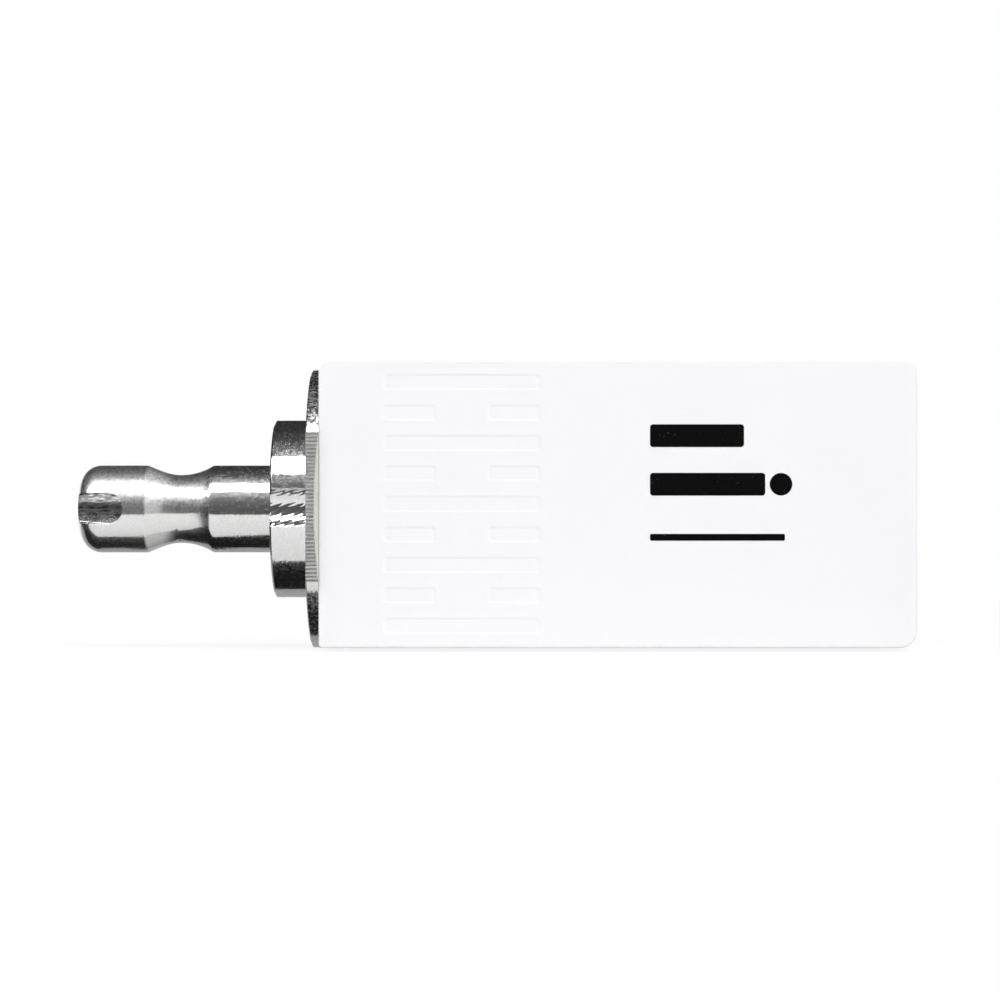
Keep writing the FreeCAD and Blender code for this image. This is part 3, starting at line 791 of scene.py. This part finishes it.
feed, size = geometry_tree(
    "feed lines",
    {
        "Lines": "NodeSocketInt",
        "Pitch": "NodeSocketFloat",
        "Depth": "NodeSocketFloat",
        "Flat": "NodeSocketFloat",
        "Side": "NodeSocketFloat",
        "Material": "NodeSocketMaterial",
    },
)
height = add(feed, "ShaderNodeMath", {0: size["Lines"], 1: size["Pitch"]}, operation="MULTIPLY")
tall = add(feed, "ShaderNodeMath", {0: size["Lines"], 1: LINE_STEPS}, operation="MULTIPLY")
tall = add(feed, "ShaderNodeMath", {0: tall.outputs[0], 1: 1.0}, operation="ADD")
grid = {"Size X": SLAB_WIDTH, "Size Y": height.outputs[0]}
grid |= {"Vertices X": 2, "Vertices Y": tall.outputs[0]}
grid = add(feed, "GeometryNodeMeshGrid", grid)
spot = add(feed, "GeometryNodeInputPosition").outputs[0]
spot = add(feed, "ShaderNodeSeparateXYZ", {0: spot}).outputs
phase = add(feed, "ShaderNodeMath", {0: spot["Y"], 1: size["Pitch"]}, operation="DIVIDE")
phase = add(feed, "ShaderNodeMath", {0: phase.outputs[0], 1: math.pi}, operation="MULTIPLY")
groove = add(feed, "ShaderNodeMath", {0: phase.outputs[0]}, operation="SINE")
groove = add(feed, "ShaderNodeMath", {0: groove.outputs[0]}, operation="ABSOLUTE")
sunk = add(feed, "ShaderNodeMath", {0: groove.outputs[0], 1: size["Depth"]}, operation="MULTIPLY")
face = add(feed, "ShaderNodeMath", {0: size["Flat"], 1: sunk.outputs[0]}, operation="SUBTRACT")
face = add(feed, "ShaderNodeMath", {0: face.outputs[0], 1: size["Side"]}, operation="MULTIPLY")
along = add(feed, "ShaderNodeMath", {0: spot["X"], 1: SLAB_MIDDLE}, operation="ADD")
place = add(feed, "ShaderNodeCombineXYZ", {"X": along.outputs[0], "Y": face.outputs[0], "Z": spot["Y"]})
wavy = {"Geometry": grid.outputs["Mesh"], "Position": place.outputs[0]}
wavy = add(feed, "GeometryNodeSetPosition", wavy)
outwards = add(feed, "ShaderNodeMath", {0: size["Side"], 1: SLAB_THICKNESS}, operation="MULTIPLY")
outwards = add(feed, "ShaderNodeCombineXYZ", {"Y": outwards.outputs[0]})
slab = {"Mesh": wavy.outputs[0], "Offset": outwards.outputs[0]}
slab |= {"Offset Scale": 1.0, "Individual": False}
slab = add(feed, "GeometryNodeExtrudeMesh", slab)
closed = add(feed, "GeometryNodeJoinGeometry")
feed.links.new(slab.outputs["Mesh"], closed.inputs[0])
feed.links.new(wavy.outputs[0], closed.inputs[0])
end_tree(feed, closed.outputs[0], size["Material"])

NEAR, FAR = -1.0, 1.0  # the side towards the camera, and the other one
feed_sizes = {"Lines": 42, "Pitch": 0.247 * MM, "Depth": 0.018 * MM, "Flat": 8.17 * MM}
feed_sizes |= {"Material": flat_steel}
near_flat = grow(feed, "near flat cutter", feed_sizes | {"Side": NEAR})
far_flat = grow(feed, "far flat cutter", feed_sizes | {"Side": FAR})
plain_sizes = feed_sizes | {"Depth": 0.0, "Material": glue}
near_plain = grow(feed, "near glue cutter", plain_sizes | {"Side": NEAR})
far_plain = grow(feed, "far glue cutter", plain_sizes | {"Side": FAR})

# %% Cut the holder and the glue


def cut(piece, cutters):
    """Takes the cutters away from a piece one by one, and bakes each result into its mesh."""
    for cutter in cutters:
        modifier = piece.modifiers.new("cut by " + cutter.name, "BOOLEAN")
        modifier.operation = "DIFFERENCE"
        modifier.solver = "EXACT"
        modifier.material_mode = "TRANSFER"
        modifier.object = cutter
        depsgraph = bpy.context.evaluated_depsgraph_get()
        made = bpy.data.meshes.new_from_object(piece.evaluated_get(depsgraph))
        piece.modifiers.remove(modifier)
        piece.data = made
        bpy.data.objects.remove(cutter)
        close_up(piece)


SQUARE = 0.999999  # a face whose direction has a part above this is square to an axis


def shade(piece, corner):
    """Smooth shading, with a crisp edge where faces meet at more than the corner's angle, in degrees.
    Square faces stay flat."""
    form = bmesh.new()
    form.from_mesh(piece.data)
    for face in form.faces:
        face.smooth = max(abs(part) for part in face.normal) < SQUARE
    for edge in form.edges:
        edge.smooth = len(edge.link_faces) == 2 and edge.calc_face_angle() < math.radians(corner)
    form.to_mesh(piece.data)
    form.free()


cut(holder, [near_flat, far_flat, notch_cutter, keyway_cutter])
cut(bond, [near_plain, far_plain])
for piece in (holder, bond):
    shade(piece, corner=18)
print("holder materials:", [material.name for material in holder.data.materials])

# %% [markdown]
# ## The ceramic block
#
# The blank is pressed in a mould, so it is a plain bar with its edges rounded, and the mould leaves
# a field of very shallow bars in the side towards the camera. Their walls slope, or the blank
# wouldn't come out of the mould. The bar is one box, bevelled twice: first the four edges that run
# from front to back, each with a round of its own, because the lower one at the glued end is nearly
# sharp, and then the edges around its two sides. The sunk bars repeat, so a tree makes them: one
# bar with sloped walls, placed at even steps. The same tree makes the printed bars, which stand
# 0.02 mm proud instead.

# %% The pressed bar
CORNERS = (  # above the middle or below it, at the glued end or the free one, radius in mm
    (True, True, 0.8),
    (True, False, 0.8),
    (False, True, 0.3),
    (False, False, 1.15),
)
SIDE_ROUND = 0.12
TOUCH = 1e-6  # places nearer than this are one place

block = bpy.data.objects.new("pressed_block", bpy.data.meshes.new("pressed_block"))
scene.collection.objects.link(block)
lowest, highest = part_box("zirconia_block")
centre_x = (lowest.x + highest.x) / 2
centre_z = (lowest.z + highest.z) / 2


def corner_edges(form, above, glued):
    """The edges that run front to back in one corner of the block."""
    found = []
    for edge in form.edges:
        first, last = edge.verts
        across = abs(first.co.y - last.co.y) > (highest.y - lowest.y) / 2
        if across and (first.co.z > centre_z) == above and (first.co.x < centre_x) == glued:
            found.append(edge)
    return found


def side_edges(form):
    """The edges around the block's two sides, the near one and the far one."""
    found = []
    for edge in form.edges:
        first, last = (vert.co.y for vert in edge.verts)
        if abs(first - last) < TOUCH and min(first - lowest.y, highest.y - first) < TOUCH:
            found.append(edge)
    return found


form = bmesh.new()
bmesh.ops.create_cube(form, size=1)
for vert in form.verts:
    vert.co = [low + (part + 0.5) * (high - low) for part, low, high in zip(vert.co, lowest, highest)]
for above, glued, radius in CORNERS:
    corner = corner_edges(form, above, glued)
    bmesh.ops.bevel(form, geom=corner, offset=radius * MM, segments=10, profile=0.5, affect="EDGES")
sides = side_edges(form)
bmesh.ops.bevel(form, geom=sides, offset=SIDE_ROUND * MM, segments=4, profile=0.5, affect="EDGES")
form.to_mesh(block.data)
form.free()
block.data.materials.append(ceramic)
close_up(block)

# %% A tree for bars
bars, size = geometry_tree(
    "bars",
    {
        "Length": "NodeSocketFloat",
        "Height": "NodeSocketFloat",
        "Corner": "NodeSocketFloat",
        "Thickness": "NodeSocketFloat",
        "Slope": "NodeSocketFloat",
        "Turn": "NodeSocketFloat",
        "Count": "NodeSocketInt",
        "First": "NodeSocketVector",
        "Step": "NodeSocketVector",
        "Material": "NodeSocketMaterial",
    },
)
frame_line = {"Width": size["Length"], "Height": size["Height"]}
frame_line = add(bars, "GeometryNodeCurvePrimitiveQuadrilateral", frame_line)
soft = {"Curve": frame_line.outputs[0], "Radius": size["Corner"], "Limit Radius": True, "Count": 6}
soft = add(bars, "GeometryNodeFilletCurve", soft, mode="POLY")
plate_face = add(bars, "GeometryNodeFillCurve", {"Curve": soft.outputs[0]}, mode="NGONS")
raised = {"Mesh": plate_face.outputs[0], "Offset Scale": size["Thickness"], "Individual": False}
raised = add(bars, "GeometryNodeExtrudeMesh", raised)
spot = add(bars, "GeometryNodeInputPosition").outputs[0]
outward = add(bars, "ShaderNodeVectorMath", {0: spot}, operation="SIGN")
outward = add(bars, "ShaderNodeVectorMath", {0: outward.outputs[0], 1: (1, 1, 0)}, operation="MULTIPLY")
inset = add(bars, "ShaderNodeMath", {0: size["Slope"], 1: -1.0}, operation="MULTIPLY")
inset = {0: outward.outputs[0], "Scale": inset.outputs[0]}
inset = add(bars, "ShaderNodeVectorMath", inset, operation="SCALE")
sloped = {"Geometry": raised.outputs["Mesh"], "Selection": raised.outputs["Top"]}
sloped |= {"Offset": inset.outputs[0]}
sloped = add(bars, "GeometryNodeSetPosition", sloped)
closed = add(bars, "GeometryNodeJoinGeometry")
bars.links.new(sloped.outputs[0], closed.inputs[0])
bars.links.new(plate_face.outputs[0], closed.inputs[0])
tilt = add(bars, "ShaderNodeCombineXYZ", {"X": size["Turn"]})
upright = {"Geometry": closed.outputs[0], "Rotation": tilt.outputs[0]}
upright = add(bars, "GeometryNodeTransform", upright)
line = {"Count": size["Count"], "Start Location": size["First"], "Offset": size["Step"]}
line = add(bars, "GeometryNodeMeshLine", line, mode="OFFSET")
placed = {"Points": line.outputs[0], "Instance": upright.outputs[0]}
placed = add(bars, "GeometryNodeInstanceOnPoints", placed)
end_tree(bars, placed.outputs[0], size["Material"])
print("bars inputs:", [item.name for item in bars.interface.items_tree if item.in_out == "INPUT"])

# %% Sink the moulded bars
FACE = lowest.y / MM  # the side towards the camera
SUNK = 0.07  # depth of the bars
SKIN = 0.02  # how far the cutters stand out of the side
field = {
    "Thickness": (SUNK + SKIN) * MM,
    "Slope": 0.2 * MM,
    "Corner": 0.25 * MM,
    "Height": (1.15 + 2 * SKIN) * MM,
    "Step": (0.0, 0.0, 4.02 * MM),
    "Turn": -math.pi / 2,
    "Material": ceramic,
}


def sink(name, length, middle, lowest_row, count):
    """Cutters for one column of bars. Sizes and places are in mm."""
    first = (middle * MM, (FACE - SKIN) * MM, lowest_row * MM)
    column = {"Length": (length + 2 * SKIN) * MM, "First": first, "Count": count}
    return grow(bars, name, field | column)


long_bars = sink("long bars", length=10.5, middle=12.85, lowest_row=-7.84, count=5)
near_bars = sink("near bars", length=3.6, middle=9.4, lowest_row=-5.83, count=4)
far_bars = sink("far bars", length=3.6, middle=16.3, lowest_row=-5.83, count=4)
cut(block, [long_bars, near_bars, far_bars])
shade(block, corner=50)

# %% Print the marks
INK = 0.02
MARKS = (  # length, height, corner, place along the block and up, all in mm
    (6.2, 1.5, 0.2, 28.36, 4.7),
    (7.6, 1.5, 0.2, 29.06, 1.5),
    (1.5, 1.5, 0.75, 33.9, 1.5),
    (8.9, 0.45, 0.1, 29.71, -2.0),
)
printed = {"Thickness": INK * MM, "Slope": 0.01 * MM, "Turn": math.pi / 2, "Material": ink}
printed |= {"Count": 1, "Step": (0.0, 0.0, 0.0)}
marks = []
for number, (length, height, corner, x, z) in enumerate(MARKS, start=1):
    mark = {"Length": length * MM, "Height": height * MM, "Corner": corner * MM}
    mark["First"] = (x * MM, FACE * MM, z * MM)
    marks.append(grow(bars, f"printed_mark_{number}", printed | mark))
print("marks:", [mark.name for mark in marks])

# %% [markdown]
# ## Hand the pieces over
#
# Each piece rides on the frame's one body and stands for its CAD node, which is hidden.

# %% Ride and replace
for piece, node, finish in (
    (holder, "holder", "turned_steel"),
    (bond, "bond_layer", "adhesive"),
    (block, "zirconia_block", "pressed_ceramic"),
):
    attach(piece, "root")
    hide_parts(node)
for mark in marks:
    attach(mark, "root")
